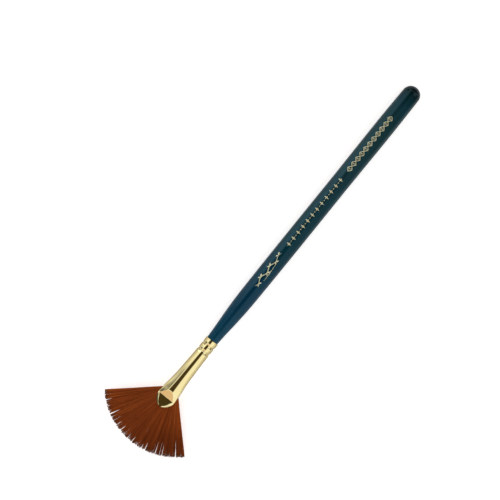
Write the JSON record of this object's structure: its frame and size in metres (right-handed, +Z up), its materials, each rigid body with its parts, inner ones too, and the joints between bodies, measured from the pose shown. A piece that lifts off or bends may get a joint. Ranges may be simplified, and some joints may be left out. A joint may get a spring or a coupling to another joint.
{
  "type": "paint brush",
  "caption": "Fan brush for painting: turned lacquered wooden handle, crimped and flattened brass ferrule, and hair spread into a thin flat fan.",
  "frame": {"origin": "under the middle of the brush, on the surface that it lies on", "axes": "+X along the brush's axis from the round end of the handle to the hair tips, +Y across the flat of the fan, +Z up, square to the flat of the fan"},
  "size_m": [0.19, 0.0428, 0.0082],
  "materials": {
    "lacquered_wood": "glossy blue-green lacquer, nearly black at the round end, with a thin gold foil ornament",
    "polished_brass": "polished, seamless tube",
    "resin": "set amber resin",
    "brush_hair": "fine red-brown synthetic filaments with darker, tapered tips",
    "thread": "waxed thread"
  },
  "bodies": {
    "handle": {"handle": "lacquered_wood", "ferrule": "polished_brass", "epoxy_plug": "resin", "hair_root": "brush_hair", "binding_thread": "thread"},
    "tuft": {"hair_lock_01": "brush_hair", "hair_lock_02": "brush_hair", "hair_lock_03": "brush_hair", "hair_lock_04": "brush_hair", "hair_lock_05": "brush_hair", "hair_lock_06": "brush_hair", "hair_lock_07": "brush_hair", "hair_lock_08": "brush_hair", "hair_lock_09": "brush_hair", "hair_lock_10": "brush_hair", "hair_lock_11": "brush_hair", "hair_lock_12": "brush_hair", "hair_lock_13": "brush_hair", "hair_lock_14": "brush_hair", "hair_lock_15": "brush_hair", "hair_lock_16": "brush_hair", "hair_lock_17": "brush_hair", "hair_lock_18": "brush_hair", "hair_lock_19": "brush_hair", "hair_lock_20": "brush_hair", "hair_lock_21": "brush_hair", "hair_lock_22": "brush_hair", "hair_lock_23": "brush_hair", "hair_lock_24": "brush_hair", "hair_lock_25": "brush_hair", "hair_lock_26": "brush_hair", "hair_lock_27": "brush_hair", "hair_lock_28": "brush_hair", "hair_lock_29": "brush_hair", "hair_lock_30": "brush_hair", "hair_lock_31": "brush_hair", "hair_lock_32": "brush_hair"}
  },
  "joints": [
    {"name": "tuft_bend", "type": "hinge", "parent": "handle", "child": "tuft", "pos_m": [0.0752, 0, 0.00409], "axis": [0, -1, 0], "range_deg": [-45, 45], "stiffness_Nm_per_rad": 0.004}
  ]
}
